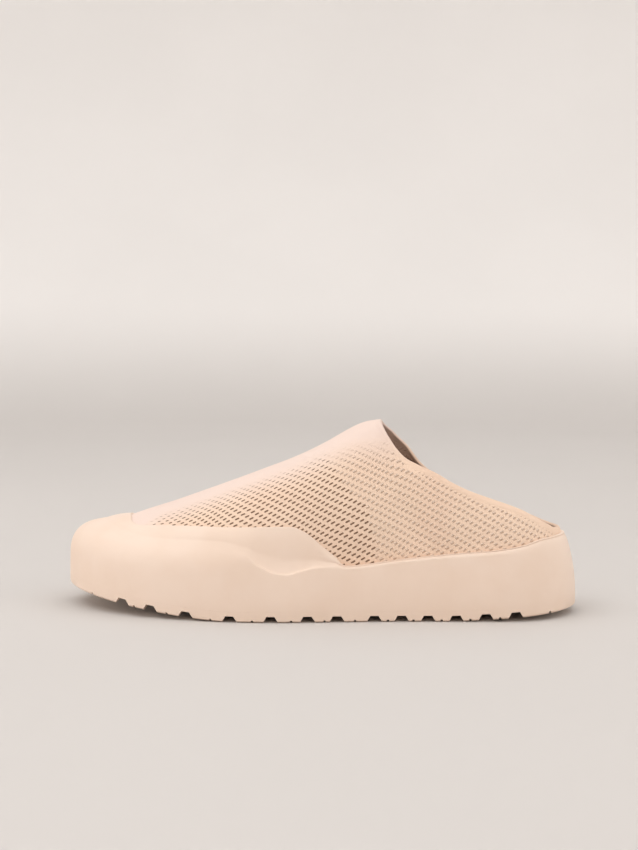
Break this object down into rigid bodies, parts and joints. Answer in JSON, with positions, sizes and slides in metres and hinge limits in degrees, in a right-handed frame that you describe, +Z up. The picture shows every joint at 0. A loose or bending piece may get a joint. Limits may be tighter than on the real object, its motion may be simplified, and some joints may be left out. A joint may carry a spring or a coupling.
{
  "type": "slip-on knit mule",
  "caption": "Left slip-on mule: hollow knitted upper with a low open collar, set in a thick moulded cup sole with a toe rand, side wings and a lugged tread.",
  "frame": {"origin": "on the floor, under the middle of the shoe's outline", "axes": "+X from toe to heel, +Y from the outer side to the inner side of the foot, +Z up from the floor"},
  "size_m": [0.296, 0.1114, 0.1085],
  "materials": {
    "rubber": "matt moulded rubber, sand-peach",
    "foam": "smooth satin moulded foam, sand-peach",
    "knit": "close flat knit with rows of small slanted eyelets, peach",
    "footbed": "brushed textile top on foam, peach"
  },
  "bodies": {
    "root": {"outsole": "rubber", "midsole": "foam", "upper": "knit", "insole": "footbed"}
  },
  "joints": []
}
